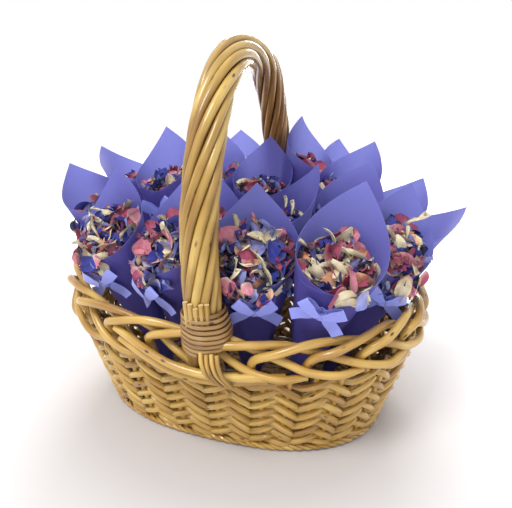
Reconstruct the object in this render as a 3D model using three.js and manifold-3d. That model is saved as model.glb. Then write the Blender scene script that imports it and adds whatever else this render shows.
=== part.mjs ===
// Oval willow basket with a fixed roped handle, filled with rolled paper cones.
// Each cone is filled with dried flower petals and tied with a ribbon bow.
// Millimetres, +Z up. The origin is the middle of the flat underside of the base,
// +X runs along the long axis and -Y is the front, where the bows are.
import * as THREE from "three";
import { mergeVertices } from "three/addons/utils/BufferGeometryUtils.js";
import Module from "manifold-3d";

const wasm = await Module();
wasm.setup();

// ---------------------------------------------------------------- dimensions

const GAP = 0.4; // clearance between pieces that touch
const PLAN_EXPONENT = 2.45; // the plan is an oval with slightly squared ends

// Levels of the wall: height, and the half length and half width of the stakes' plane.
const FOOT = { h: 0, a: 128, b: 89.5 };
const WEAVE_TOP = { h: 77, a: 153.5, b: 109.5 };
const BORDER_TOP = { h: 120, a: 159, b: 121 };
const END_RISE = 13.5; // the rim is this much higher at the two ends

const STAKES = 22; // upright rods; number 0 stands at the front handle foot
const WEAVE_RIDGES = 7; // one for each pair of weavers
const WEAVE_FACE = 3.2; // grooves of the weave outside the stakes' plane
const WEAVE_CREST = 6.8; // its ridges outside the stakes' plane
const WEAVE_DIP = 5; // the ridges dip this much at each stake and rise as much between
const WEAVE_INSIDE = 4; // inner surface inside the stakes' plane
const FOOT_FACE = 6.5; // twined foot rods outside the stakes' plane
const BASE_THICKNESS = 7;
const BASE_RINGS = 13; // rings of rods round the base's flat middle
const BASE_GROOVE = 2.6; // depth between two rings
const BASE_MIDDLE = { a: 46, b: 8 };

const ROD_RADIUS = 3.4; // border rods
const ROD_SIDES = 5;
const ROD_STEPS = 10;

const HANDLE_TOP = 310.5; // centreline of the arch
const HANDLE_HALF_SPAN = 115; // centreline of the feet
const HANDLE_ASIDE = 5; // the front foot stands this far to the right
const HANDLE_EXPONENT = 2.48; // the arch is a squared oval
const HANDLE_STRANDS = 10;
const HANDLE_RADIUS = 13.8; // over the strands
const HANDLE_GROOVE = 2.3; // depth between two strands
const HANDLE_FOOT_RADIUS = 11.5; // where the rods enter the border
const HANDLE_TURNS = 2; // twist over the whole arch
const HANDLE_STEPS = 33;

const BINDING = {
  low: 104,
  high: 136,
  turns: 8,
  ridge: 1.2, // depth between two turns
  sides: 14,
  bore: 15.2,
  bottom: 17,
  widest: 19.2, // a third of the way up
  top: 16.6,
  aside: 2.5, // the wide part sits this far to the right
};
const LAP_RODS = 4;
const LAP_RADIUS = 2.1;
const LAP_SPACING = 1.5 * LAP_RADIUS; // sunk into each other a little
const LAP_REACH = 13.7; // outside the stakes' plane, clear of the border rods
const LAP_ROUTE = [
  // mm to the right of the middle, height above the weave, out from the reach
  [13, 24, 2.6],
  [15, 16, 2],
  [17.5, 8, 1.4],
  [19.5, 2, 0.4],
];

const PAPER_SIDE = 150; // a square sheet, rolled from one corner
const PAPER = 0.8;
const CONE_SIDES = 18;
const CONE_DEPTH = 0.85; // cones are pressed a little flat by their neighbours
const FRONT_HALF_ANGLE = THREE.MathUtils.degToRad(11.3);
const REAR_HALF_ANGLE = THREE.MathUtils.degToRad(10);
const LAST_HALF_ANGLE = THREE.MathUtils.degToRad(9.2);
const CONE_FLOOR = 8.5; // lowest paper tip
const LEAN_X = 0.4; // a cone's mouth is this share of its offset outside its tip
const LEAN_Y = 0.41;

const PETALS = [5, 5, 4, 3]; // standing petals of a heap, row by row
const HEAP_RISE = 8; // of a heap's filling above the rim
const HIGH_HEAPS = [1, 2, 3, 11];
const HIGH_HEAP_RISE = 20;
const HEAP_LOW = 20; // slant length up to which a cone's tip is empty
const PETAL_LENGTH = 27;
const PETAL_WIDTH = 19;
const PETAL_THICKNESS = 0.8;

const RIBBON_WIDTH = 9;
const RIBBON = 0.8;
const BOW = {
  slant: 135, // place up the front of the cone
  stand: GAP + 0.3, // underside off the paper
  knot: [8, 6, 8],
  inKnot: 3, // where a loop or tail starts inside the knot
  loop: [17, 20], // shortest and longest
  tail: [22, 26],
  loopTilt: [0.25, 0.55], // up from level, in radians
  tailTilt: [0.35, 0.75], // down from level
};

// The bunch, row by row from the front: mouth place x and y, lift of the tip, turn in degrees.
const ROWS = [
  [[-96, -65.5, 3.5, 9], [-36, -80.7, 2.3, 25.5], [32, -77, 0, -18], [92.45, -82.8, 12.6, -3]],
  [[-140.6, -13.4, 18, -59], [-83, 9, 35, -2], [-27, -22, 0.2, -21], [33, -13, 8.5, 53],
    [84.9, -1.8, 12.5, 8], [131.6, 13.7, 0, 74], [125.7, -36.7, 6.3, -20]],
  [[-136, 44, 33, -75], [-52.6, 60.5, 28.3, 3], [2.4, 34.2, 24.3, -3], [77.3, 48, 30.7, 22],
    [116.6, 65, 7, 34]],
  [[-48.6, 110.4, 38.5, -10], [37.6, 76.7, 45.1, -50], [65.8, 113.2, 30, -33]],
];
const HALF_ANGLES = [FRONT_HALF_ANGLE, REAR_HALF_ANGLE, REAR_HALF_ANGLE, LAST_HALF_ANGLE];
const ROWS_WITH_BOWS = 2;

// ---------------------------------------------------------------- materials

const finish = (color, roughness) =>
  new THREE.MeshStandardMaterial({ color, roughness, metalness: 0 });
const willow = finish(0xc8a060, 0.4);
const willowDark = finish(0xb08850, 0.45);
const paper = finish(0x6f6bb8, 0.7);
const petalMix = finish(0xb2637a, 0.85);
const satin = finish(0x8f96e0, 0.35);

// ---------------------------------------------------------------- helpers

const V = (x, y, z) => new THREE.Vector3(x, y, z);
const mix = THREE.MathUtils.lerp;

// Seeded numbers from 0 to 1.
function dice(seed) {
  let state = seed;
  return () => {
    state = (state + 0x6d2b79f5) | 0;
    let t = Math.imul(state ^ (state >>> 15), 1 | state);
    t = (t + Math.imul(t ^ (t >>> 7), 61 | t)) ^ t;
    return ((t ^ (t >>> 14)) >>> 0) / 4294967296;
  };
}

// Surface over a stack of rings with equal numbers of points. "loop" joins the last ring
// to the first; otherwise both ends are closed by fans.
function skin(rings, loop = false) {
  const n = rings[0].length;
  const points = rings.flat();
  const index = [];
  const at = (ring, k) => (ring % rings.length) * n + (k % n);
  const spans = loop ? rings.length : rings.length - 1;
  for (let ring = 0; ring < spans; ring++) {
    for (let k = 0; k < n; k++) {
      index.push(at(ring, k), at(ring, k + 1), at(ring + 1, k + 1));
      index.push(at(ring, k), at(ring + 1, k + 1), at(ring + 1, k));
    }
  }
  if (!loop) {
    const middle = (ring) =>
      ring.reduce((sum, p) => sum.add(p), V(0, 0, 0)).divideScalar(n);
    const low = points.push(middle(rings[0])) - 1;
    const high = points.push(middle(rings.at(-1))) - 1;
    for (let k = 0; k < n; k++) {
      index.push(low, at(0, k + 1), at(0, k));
      index.push(high, at(rings.length - 1, k), at(rings.length - 1, k + 1));
    }
  }
  const geometry = new THREE.BufferGeometry().setFromPoints(points);
  geometry.setIndex(index);
  return geometry;
}

function solid(geometry) {
  const bare = geometry.clone();
  bare.deleteAttribute("normal");
  bare.deleteAttribute("uv");
  const merged = mergeVertices(bare, 1e-4);
  return new wasm.Manifold(
    new wasm.Mesh({
      numProp: 3,
      vertProperties: merged.attributes.position.array,
      triVerts: new Uint32Array(merged.index.array),
    }),
  );
}

function geometryOf(body) {
  const mesh = body.getMesh();
  const geometry = new THREE.BufferGeometry();
  const positions = new THREE.BufferAttribute(mesh.vertProperties, mesh.numProp);
  geometry.setAttribute("position", positions);
  geometry.setIndex(new THREE.BufferAttribute(mesh.triVerts, 1));
  return geometry;
}

const fuse = (bodies) => bodies.reduce((whole, body) => whole.add(body));

// The bodies of a solid that came apart, the largest first.
const bodiesOf = (body) => body.decompose().sort((p, q) => q.volume() - p.volume());

const basket = new THREE.Group();
function place(name, geometry, material) {
  const shaded = geometry.clone();
  shaded.computeVertexNormals();
  const mesh = new THREE.Mesh(shaded, material);
  mesh.name = name;
  basket.add(mesh);
}

// ---------------------------------------------------------------- oval plan

function ovalPoint(phi, a, b) {
  const c = Math.cos(phi);
  const s = Math.sin(phi);
  const sum = Math.abs(c / a) ** PLAN_EXPONENT + Math.abs(s / b) ** PLAN_EXPONENT;
  const r = sum ** (-1 / PLAN_EXPONENT);
  return [r * c, r * s];
}

// Angle of the point that lies u stake spacings along the weave's top edge from the front.
const ARC_STEPS = 1440;
const arcAngles = [];
const arcLengths = [];
{
  let length = 0;
  let last = ovalPoint(-Math.PI / 2, WEAVE_TOP.a, WEAVE_TOP.b);
  for (let k = 0; k <= ARC_STEPS; k++) {
    const phi = -Math.PI / 2 + (2 * Math.PI * k) / ARC_STEPS;
    const next = ovalPoint(phi, WEAVE_TOP.a, WEAVE_TOP.b);
    length += Math.hypot(next[0] - last[0], next[1] - last[1]);
    arcAngles.push(phi);
    arcLengths.push(length);
    last = next;
  }
}
function angleAt(u) {
  const turns = Math.floor(u / STAKES);
  const want = (u / STAKES - turns) * arcLengths[ARC_STEPS];
  const k = Math.max(1, arcLengths.findIndex((length) => length >= want));
  const share = (want - arcLengths[k - 1]) / (arcLengths[k] - arcLengths[k - 1]);
  return mix(arcAngles[k - 1], arcAngles[k], share) + 2 * Math.PI * turns;
}

// Point of the wall u stakes from the front, h above the floor, "out" from the stakes' plane.
function wallPoint(u, h, out) {
  const [low, high] = h < WEAVE_TOP.h ? [FOOT, WEAVE_TOP] : [WEAVE_TOP, BORDER_TOP];
  const share = (h - low.h) / (high.h - low.h);
  const a = mix(low.a, high.a, share);
  const b = mix(low.b, high.b, share);
  const [x, y] = ovalPoint(angleAt(u), a + out, b + out);
  const rise = END_RISE * (x / (a + out)) ** 2 * Math.min(1, h / WEAVE_TOP.h) ** 2;
  return V(x, y, h + rise);
}

// A ring of the wall with two points for each stake: one at it and one half way to the next.
const STATIONS = 2 * STAKES;
const wallRing = (h, out, dip = 0) =>
  Array.from({ length: STATIONS }, (_, k) =>
    wallPoint(k / 2, k % 2 === 0 ? h - dip : h + dip, out),
  );

// ---------------------------------------------------------------- base and wall

// Oval plate whose underside shows the rings of rods: each ring lies on the floor and a
// groove parts it from the next. The middle is flat.
function baseGeometry() {
  const oval = (a, b, z) =>
    Array.from({ length: STAKES }, (_, k) =>
      V(...ovalPoint(-Math.PI / 2 + (2 * Math.PI * k) / STAKES, a, b), z),
    );
  const edge = { a: FOOT.a - WEAVE_INSIDE - GAP, b: FOOT.b - WEAVE_INSIDE - GAP };
  const ringAt = (share, z) =>
    oval(mix(BASE_MIDDLE.a, edge.a, share), mix(BASE_MIDDLE.b, edge.b, share), z);
  const rings = [];
  for (let ring = 0; ring < BASE_RINGS; ring++) {
    rings.push(ringAt(ring / BASE_RINGS, 0));
    rings.push(ringAt((ring + 0.5) / BASE_RINGS, BASE_GROOVE));
  }
  rings.push(ringAt(1, 0), ringAt(1, BASE_THICKNESS));
  return skin(rings);
}

function weaveGeometry() {
  const rings = [wallRing(0, FOOT_FACE)];
  const pitch = WEAVE_TOP.h / WEAVE_RIDGES;
  for (let half = 1; half < 2 * WEAVE_RIDGES; half++) {
    const h = (pitch * half) / 2;
    const dip = WEAVE_DIP * Math.min(1, h / pitch, (WEAVE_TOP.h - h) / pitch);
    rings.push(wallRing(h, half % 2 === 1 ? WEAVE_CREST : WEAVE_FACE, dip));
  }
  rings.push(wallRing(WEAVE_TOP.h, WEAVE_FACE));
  rings.push(wallRing(WEAVE_TOP.h, -WEAVE_INSIDE));
  rings.push(wallRing(WEAVE_TOP.h / 2, -WEAVE_INSIDE));
  rings.push(wallRing(0, -WEAVE_INSIDE));
  return skin(rings, true);
}

// ---------------------------------------------------------------- rods

function rodSolid(points, radius, steps, sides = ROD_SIDES) {
  const outline = new THREE.Shape();
  for (let k = 0; k < sides; k++) {
    const angle = (2 * Math.PI * k) / sides;
    const corner = [radius * Math.cos(angle), radius * Math.sin(angle)];
    if (k === 0) outline.moveTo(...corner);
    else outline.lineTo(...corner);
  }
  outline.closePath();
  const extrudePath = new THREE.CatmullRomCurve3(points);
  return solid(new THREE.ExtrudeGeometry(outline, { steps, extrudePath }));
}

// One stake above the weave: it rises, bends over to the right in front of its neighbours,
// passes behind the next two elbows, comes out before the third stake and ends at the fourth.
const BORDER_ROUTE = [
  // stakes to the right, height above the weave, out from the stakes' plane
  [0, ROD_RADIUS + GAP, 0],
  [0, 16, 0],
  [0.08, 27, 3],
  [0.4, 33.5, 4],
  [1, 39, -1],
  [1.6, 36.5, -5.5],
  [2.1, 30, -4.5],
  [2.6, 21, 2.5],
  [3, 13, 6.4],
  [3.5, 7.5, 8.5],
  [3.98, 7.5, 5],
];

// Share of its height above the first few mm by which the border dips, to the right of the
// front foot and at the right end: stakes to the right, share.
const BORDER_DIP = [[0, 0], [1, 0.19], [4, 0.19], [5.5, 0.36], [7, 0.36], [10, 0]];
const DIP_ABOVE = 8;

function borderHeight(u, h) {
  const rightward = THREE.MathUtils.euclideanModulo(u, STAKES);
  const next = BORDER_DIP.findIndex(([place]) => place > rightward);
  if (next < 1) return h;
  const [from, low] = BORDER_DIP[next - 1];
  const [to, high] = BORDER_DIP[next];
  const dip = mix(low, high, THREE.MathUtils.smoothstep(rightward, from, to));
  return h - dip * Math.max(0, h - DIP_ABOVE);
}

function borderSolid() {
  const rods = [];
  for (let stake = 0; stake < STAKES; stake++) {
    const points = BORDER_ROUTE.map(([u, h, out]) =>
      wallPoint(stake + u, WEAVE_TOP.h + borderHeight(stake + u, h), out),
    );
    rods.push(rodSolid(points, ROD_RADIUS, ROD_STEPS));
  }
  return fuse(rods);
}

// ---------------------------------------------------------------- handle

// The arch stands in the plane x = 0, but for its front foot; t runs from 0 at the front
// foot to 1 at the back.
function archPoint(t) {
  const angle = Math.PI * t;
  const bend = (v) => Math.sign(v) * Math.abs(v) ** (2 / HANDLE_EXPONENT);
  const low = WEAVE_TOP.h + GAP;
  const z = low + (HANDLE_TOP - low) * bend(Math.sin(angle));
  const aside = t < 0.5 ? 1 - THREE.MathUtils.smoothstep(z, BINDING.low, 2 * BINDING.low) : 0;
  return V(HANDLE_ASIDE * aside, -HANDLE_HALF_SPAN * bend(Math.cos(angle)), z);
}

// The rods are gathered at the feet and lie at full size from the bindings up.
function handleRadius(z) {
  const share = THREE.MathUtils.smoothstep(z, WEAVE_TOP.h, BINDING.low);
  return mix(HANDLE_FOOT_RADIUS, HANDLE_RADIUS, share);
}

class Arch extends THREE.Curve {
  getPoint(t) {
    return archPoint(t);
  }
}
const arch = new Arch();
arch.arcLengthDivisions = 600;

function archRing(share, sides, radiusAt, turn = 0) {
  const centre = arch.getPointAt(share);
  const along = arch.getTangentAt(share);
  const side = V(1, 0, 0);
  const out = new THREE.Vector3().crossVectors(along, side);
  return Array.from({ length: sides }, (_, k) => {
    const angle = turn + (2 * Math.PI * k) / sides;
    const radius = radiusAt(k, centre.z);
    return centre
      .clone()
      .addScaledVector(side, radius * Math.cos(angle))
      .addScaledVector(out, radius * Math.sin(angle));
  });
}

function handleGeometry() {
  const rings = [];
  for (let step = 0; step <= HANDLE_STEPS; step++) {
    const share = step / HANDLE_STEPS;
    const radiusAt = (k, z) => {
      const full = handleRadius(z);
      return k % 2 === 0 ? full : full - (HANDLE_GROOVE * full) / HANDLE_RADIUS;
    };
    const turn = 2 * Math.PI * HANDLE_TURNS * share;
    rings.push(archRing(share, 2 * HANDLE_STRANDS, radiusAt, turn));
  }
  rings[0].forEach((p) => p.setZ(WEAVE_TOP.h + GAP));
  rings.at(-1).forEach((p) => p.setZ(WEAVE_TOP.h + GAP));
  return skin(rings);
}

// Share of the arch's length at which its front leg reaches the height z.
function shareAtHeight(z) {
  let low = 0;
  let high = 0.5;
  for (let k = 0; k < 40; k++) {
    const half = (low + high) / 2;
    if (arch.getPointAt(half).z < z) low = half;
    else high = half;
  }
  return low;
}

// Flat cane wound round a leg, with ridges for its turns. It is fullest near its low end,
// where it also takes in a border rod. "grow" fattens it for cutting.
function bindingGeometry(back, grow = 0, hollow = true) {
  const { low, high, turns, ridge, sides, bore, bottom, widest, top, aside } = BINDING;
  const ringAt = (z, radius, shift = 0) => {
    const share = shareAtHeight(z);
    const ring = archRing(back ? 1 - share : share, sides, () => radius);
    ring.forEach((p) => p.setX(p.x + (back ? -shift : shift)));
    return back ? ring.reverse() : ring;
  };
  const rings = [];
  for (let k = 0; k <= 2 * turns; k++) {
    const up = k / (2 * turns);
    const full = Math.sin(Math.PI * Math.min(1, up * 0.8 + 0.2));
    const plain = mix(bottom, top, up);
    const radius = plain + (widest - plain) * full ** 2 - (k % 2 === 0 ? ridge : 0);
    rings.push(ringAt(mix(low, high, up), radius + grow, aside * full));
  }
  if (hollow) rings.push(ringAt(high, bore), ringAt(low, bore));
  return skin(rings, hollow);
}

// Rods that hold a handle foot down: side by side over the border, from under the binding
// down to the right, with their ends on the weave.
function lapSolid(back) {
  const start = back ? STAKES / 2 : 0;
  const stakeSpacing = arcLengths[ARC_STEPS] / STAKES;
  const rods = [];
  for (let k = 0; k < LAP_RODS; k++) {
    const across = (k - (LAP_RODS - 1) / 2) * LAP_SPACING;
    const points = LAP_ROUTE.map(([along, h, out]) =>
      wallPoint(start + (along + across) / stakeSpacing, WEAVE_TOP.h + h, LAP_REACH + out),
    );
    rods.push(rodSolid(points, LAP_RADIUS, LAP_ROUTE.length - 1));
  }
  return fuse(rods);
}

// ---------------------------------------------------------------- paper cones

// A cone's own frame: tip, axis, the back direction of its tall corner, and its left.
function coneFrame([x, y, lift, turn], halfAngle) {
  const axisLength = PAPER_SIDE * Math.cos(halfAngle);
  const lean = V(LEAN_X * x, LEAN_Y * y, 0);
  const height = Math.sqrt(axisLength ** 2 - lean.lengthSq());
  const tip = V(x - lean.x, y - lean.y, CONE_FLOOR + lift);
  const axis = V(lean.x, lean.y, height).normalize();
  const heading = THREE.MathUtils.degToRad(turn);
  const back = V(Math.sin(heading), Math.cos(heading), 0);
  back.addScaledVector(axis, -back.dot(axis)).normalize();
  const left = new THREE.Vector3().crossVectors(axis, back);
  return { tip, axis, back, left, halfAngle };
}

// Slant length of the square sheet at an angle round the cone, 0 at the tall back corner.
function slantAt(theta, halfAngle) {
  const onSheet = Math.abs(theta) * Math.sin(halfAngle);
  return PAPER_SIDE / Math.cos(Math.PI / 4 - onSheet);
}

// Point on the cone's outside, moved "inward" towards the axis.
function conePoint(frame, theta, slant, inward = 0) {
  const { tip, axis, back, left, halfAngle } = frame;
  const spread = slant * Math.sin(halfAngle) - inward / Math.cos(halfAngle);
  return tip
    .clone()
    .addScaledVector(axis, slant * Math.cos(halfAngle))
    .addScaledVector(back, spread * CONE_DEPTH * Math.cos(theta))
    .addScaledVector(left, spread * Math.sin(theta));
}

const roundCone = Array.from(
  { length: CONE_SIDES },
  (_, k) => (2 * Math.PI * k) / CONE_SIDES,
);
const fromBack = (angle) => (angle > Math.PI ? angle - 2 * Math.PI : angle);

// The sheet as a thin closed shell: outside tip, outer rim, inner rim, inside tip.
function coneGeometry(frame) {
  const { tip, axis, halfAngle } = frame;
  const ring = (inward) =>
    roundCone.map((angle) =>
      conePoint(frame, angle, slantAt(fromBack(angle), halfAngle), inward),
    );
  const insideTip = tip
    .clone()
    .addScaledVector(axis, PAPER / (CONE_DEPTH * Math.sin(halfAngle)));
  const points = [tip.clone(), ...ring(0), ...ring(PAPER / CONE_DEPTH), insideTip];
  const last = points.length - 1;
  const index = [];
  for (let k = 0; k < CONE_SIDES; k++) {
    const outer = 1 + k;
    const outerNext = 1 + ((k + 1) % CONE_SIDES);
    const inner = outer + CONE_SIDES;
    const innerNext = outerNext + CONE_SIDES;
    index.push(0, outerNext, outer);
    index.push(outer, innerNext, inner, outer, outerNext, innerNext);
    index.push(last, inner, innerNext);
  }
  const geometry = new THREE.BufferGeometry().setFromPoints(points);
  geometry.setIndex(index);
  return geometry;
}

// ---------------------------------------------------------------- petals

// One cupped petal standing at "root": a thin five-sided blade.
function petalSolid(root, along, face, length, width, cup) {
  const side = new THREE.Vector3().crossVectors(face, along).normalize();
  const normal = new THREE.Vector3().crossVectors(along, side).normalize();
  const outline = [
    [0, 0, 0],
    [0.55, -0.5, 1],
    [1, -0.24, 0.6],
    [1, 0.24, 0.6],
    [0.55, 0.5, 1],
  ];
  const sheet = (drop) =>
    outline.map(([l, w, lifted]) =>
      root
        .clone()
        .addScaledVector(along, l * length)
        .addScaledVector(side, w * width)
        .addScaledVector(normal, lifted * cup - drop),
    );
  const points = [...sheet(0), ...sheet(PETAL_THICKNESS)];
  const n = outline.length;
  const index = [];
  for (const [p, q, r] of [[0, 1, 4], [1, 2, 4], [2, 3, 4]]) {
    index.push(p, q, r, n + p, n + r, n + q);
  }
  for (let k = 0; k < n; k++) {
    const next = (k + 1) % n;
    index.push(k, n + k, n + next, k, n + next, next);
  }
  const geometry = new THREE.BufferGeometry().setFromPoints(points);
  geometry.setIndex(index);
  return solid(geometry);
}

// The petals of one cone: a filling up to the mouth with single petals standing out of it.
function heapGeometry(frame, petals, number) {
  const random = dice(number);
  const rise = HIGH_HEAPS.includes(number) ? HIGH_HEAP_RISE : HEAP_RISE;
  const { tip, axis, back, left, halfAngle } = frame;
  const clear = (PAPER + GAP) / CONE_DEPTH;
  const everyOther = roundCone.filter((_, k) => k % 2 === 0);
  const ring = (slant, shrink = 0) =>
    everyOther.map((angle) => conePoint(frame, angle, slant, clear + shrink));
  const mouth = PAPER_SIDE - 2;
  const filling = solid(skin([ring(HEAP_LOW), ring(mouth), ring(mouth + rise, rise + 3)]));
  const inside = solid(skin([ring(HEAP_LOW), ring(1.5 * PAPER_SIDE)]));
  const mouthRadius = PAPER_SIDE * Math.sin(halfAngle);
  const golden = Math.PI * (3 - Math.sqrt(5));
  const bodies = [filling];
  for (let k = 0; k < petals; k++) {
    const angle = k * golden + 0.5 * random();
    const spread = 0.62 * mouthRadius * Math.sqrt((k + 0.3) / petals);
    const outward = back
      .clone()
      .multiplyScalar(CONE_DEPTH * Math.cos(angle))
      .addScaledVector(left, Math.sin(angle));
    const root = tip
      .clone()
      .addScaledVector(axis, mouth * Math.cos(halfAngle) + rise - 3.5 - 0.16 * spread)
      .addScaledVector(outward, spread);
    const elevation = mix(0.6, 1.1, random());
    const along = outward
      .clone()
      .applyAxisAngle(axis, mix(1.2, 2.6, random()))
      .normalize()
      .multiplyScalar(Math.cos(elevation))
      .addScaledVector(axis, Math.sin(elevation));
    const face = axis.clone().applyAxisAngle(along, mix(-0.5, 0.5, random()));
    const length = PETAL_LENGTH * mix(0.85, 1.15, random());
    const width = PETAL_WIDTH * mix(0.8, 1.1, random());
    const petal = petalSolid(root, along, face, length, width, mix(-2.5, 2.5, random()));
    const sticksOut = petal.subtract(inside).volume() > 0;
    bodies.push(sticksOut ? petal.intersect(inside) : petal);
  }
  return geometryOf(bodiesOf(fuse(bodies))[0]);
}

// ---------------------------------------------------------------- bows

// A flat strip or a folded loop of ribbon. Its edge line is drawn in the plane of "along"
// and "out"; across that plane it is as wide as the ribbon.
function ribbonGeometry(edge) {
  const outline = new THREE.Shape(edge.map(([x, y]) => new THREE.Vector2(x, y)));
  const strip = new THREE.ExtrudeGeometry(outline, {
    depth: RIBBON_WIDTH,
    bevelEnabled: false,
  });
  return strip.translate(0, 0, -RIBBON_WIDTH / 2);
}

// A bow flat on the front of a cone: a knot with a loop and a tail on each side.
function bowGeometry(frame, seed) {
  const random = dice(seed);
  const foot = conePoint(frame, Math.PI, BOW.slant);
  const up = conePoint(frame, Math.PI, BOW.slant + 1).sub(foot).normalize();
  const along = frame.left;
  const out = new THREE.Vector3().crossVectors(up, along).normalize();
  const onCone = new THREE.Matrix4().makeBasis(along, out, up);
  onCone.setPosition(foot.addScaledVector(out, BOW.stand));
  const put = (geometry, tilt) =>
    solid(geometry.applyMatrix4(new THREE.Matrix4().makeRotationY(tilt)).applyMatrix4(onCone));
  const loopLength = mix(...BOW.loop, random());
  const tailLength = mix(...BOW.tail, random());
  const loop = [
    [BOW.inKnot, 2 * RIBBON],
    [loopLength, 3 * RIBBON],
    [loopLength + 1, 5 * RIBBON],
    [loopLength - 4, 7 * RIBBON],
    [BOW.inKnot, 6 * RIBBON],
  ];
  const tail = [
    [BOW.inKnot, 0.2],
    [tailLength, 0.6],
    [tailLength, 0.6 + RIBBON],
    [BOW.inKnot, 0.2 + RIBBON],
  ];
  const bodies = [put(new THREE.BoxGeometry(...BOW.knot).translate(0, BOW.knot[1] / 2, 0), 0)];
  for (const side of [1, -1]) {
    const mirrored = (edge) => (side > 0 ? edge : edge.map(([x, y]) => [-x, y]).reverse());
    const loopTilt = -side * mix(...BOW.loopTilt, random());
    const tailTilt = side * mix(...BOW.tailTilt, random());
    bodies.push(put(ribbonGeometry(mirrored(loop)), loopTilt));
    bodies.push(put(ribbonGeometry(mirrored(tail)), tailTilt));
  }
  return geometryOf(fuse(bodies));
}

// ---------------------------------------------------------------- assembly

place("basket_base", baseGeometry(), willowDark);
place("side_weave", weaveGeometry(), willow);

// Room in the border for the two handle feet and their bindings.
const footRoom = (back) => {
  const room = new THREE.CylinderGeometry(HANDLE_RADIUS + 1, HANDLE_RADIUS + 1, 50, 12);
  const foot = archPoint(back ? 1 : 0);
  return room.rotateX(Math.PI / 2).translate(foot.x, foot.y, WEAVE_TOP.h + 20);
};
const cutters = [false, true].flatMap((back) => [
  solid(bindingGeometry(back, GAP, false)),
  solid(footRoom(back)),
]);
const centreX = (body) => body.boundingBox().min[0] + body.boundingBox().max[0];
const borderHalves = bodiesOf(borderSolid().subtract(fuse(cutters))).slice(0, 2);
borderHalves.sort((p, q) => centreX(p) - centreX(q));
place("rim_border_left", geometryOf(borderHalves[0]), willow);
place("rim_border_right", geometryOf(borderHalves[1]), willow);
place("handle_rope", handleGeometry(), willow);
for (const back of [false, true]) {
  const side = back ? "back" : "front";
  place(`${side}_binding`, bindingGeometry(back), willowDark);
  place(`${side}_lap_rods`, geometryOf(lapSolid(back)), willow);
}

let number = 0;
ROWS.forEach((row, rowNumber) => {
  const halfAngle = HALF_ANGLES[rowNumber];
  for (const spot of row) {
    number += 1;
    const tag = String(number).padStart(2, "0");
    const frame = coneFrame(spot, halfAngle);
    place(`paper_cone_${tag}`, coneGeometry(frame), paper);
    place(`petals_${tag}`, heapGeometry(frame, PETALS[rowNumber], number), petalMix);
    if (rowNumber < ROWS_WITH_BOWS) {
      place(`ribbon_bow_${tag}`, bowGeometry(frame, 100 + number), satin);
    }
  }
});

export default basket;
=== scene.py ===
# Oval willow basket with a roped handle, filled with rolled paper cones of dried petals.
# Metres, +Z up. The origin is the middle of the underside of the base, +X runs along the
# long axis and -Y is the front. Lengths in the tables are in millimetres.
import math
import random

import bpy
import numpy as np
from mathutils import Matrix, Vector


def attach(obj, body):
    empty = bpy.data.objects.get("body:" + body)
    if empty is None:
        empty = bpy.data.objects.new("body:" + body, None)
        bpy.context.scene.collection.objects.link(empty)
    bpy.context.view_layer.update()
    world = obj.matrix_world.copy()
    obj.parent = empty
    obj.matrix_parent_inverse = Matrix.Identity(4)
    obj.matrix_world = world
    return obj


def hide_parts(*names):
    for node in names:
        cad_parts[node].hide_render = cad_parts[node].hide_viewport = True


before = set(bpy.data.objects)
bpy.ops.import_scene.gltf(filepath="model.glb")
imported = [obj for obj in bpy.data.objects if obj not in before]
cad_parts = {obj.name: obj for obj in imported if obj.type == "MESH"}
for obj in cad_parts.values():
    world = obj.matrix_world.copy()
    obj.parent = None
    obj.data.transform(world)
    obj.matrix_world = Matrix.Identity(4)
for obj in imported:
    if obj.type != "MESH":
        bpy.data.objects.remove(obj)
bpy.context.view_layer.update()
bpy.ops.object.select_all(action="DESELECT")
MM = 0.001

# ---------------------------------------------------------------- camera

CAMERA_PLACE = (0.1317, -0.3961, 0.2864)
CAMERA_RIGHT = (0.95394, 0.29984, 0.00936)
CAMERA_UP = (-0.10991, 0.32030, 0.94092)
CAMERA_AHEAD = (-0.27912, 0.89861, -0.33851)
LENS = 33.25

bpy.ops.object.camera_add(location=CAMERA_PLACE)
camera = bpy.context.object
camera.rotation_mode = "QUATERNION"
camera.rotation_quaternion = Matrix(
    (CAMERA_RIGHT, CAMERA_UP, [-c for c in CAMERA_AHEAD])
).transposed().to_quaternion()
camera.data.lens = LENS
camera.data.clip_start = 0.01
bpy.context.scene.camera = camera

# ---------------------------------------------------------------- dimensions

GAP = 0.4  # of the handle's feet over the weave
PLAN_EXPONENT = 2.45
FOOT = (0.0, 128.0, 89.5)  # height, half length and half width of the stakes' plane
WEAVE_TOP = (77.0, 153.5, 109.5)
BORDER_TOP = (120.0, 159.0, 121.0)
END_RISE = 13.5
STAKES = 22
WEAVE_ROWS = 14
WEAVER_RADIUS = 2.9
WEAVE_DIP = 4.7  # the weavers dip this much at every stake and rise as much between
ARM_DROP = 4.0  # and the falling arms dip this much more, to end on the rising ones
ROD_RADIUS = 3.3

HANDLE_TOP = 310.5
HANDLE_HALF_SPAN = 115.0
HANDLE_ASIDE = 5.0  # the front foot stands this far to the right
HANDLE_EXPONENT = 2.48
HANDLE_STRANDS = 10
HANDLE_RADIUS = 13.8
HANDLE_FOOT_RADIUS = 8.5
HANDLE_TURNS = 2
STRAND_RADIUS = 3.3
CORE_RADIUS = 8.2
BINDING_LOW = 104.0
BINDING_HIGH = 136.0
BINDING_TURNS = 8
BINDING_RADII = (17.0, 19.2, 16.6)  # at the bottom, a third of the way up and at the top
BINDING_ASIDE = 2.5  # the wide part sits this far to the right

PAPER_SIDE = 150.0
CONE_DEPTH = 0.85
FRONT_HALF_ANGLE = math.radians(11.3)
REAR_HALF_ANGLE = math.radians(10.0)
LAST_HALF_ANGLE = math.radians(9.2)
CONE_FLOOR = 8.5
LEAN_X = 0.4
LEAN_Y = 0.41
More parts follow.
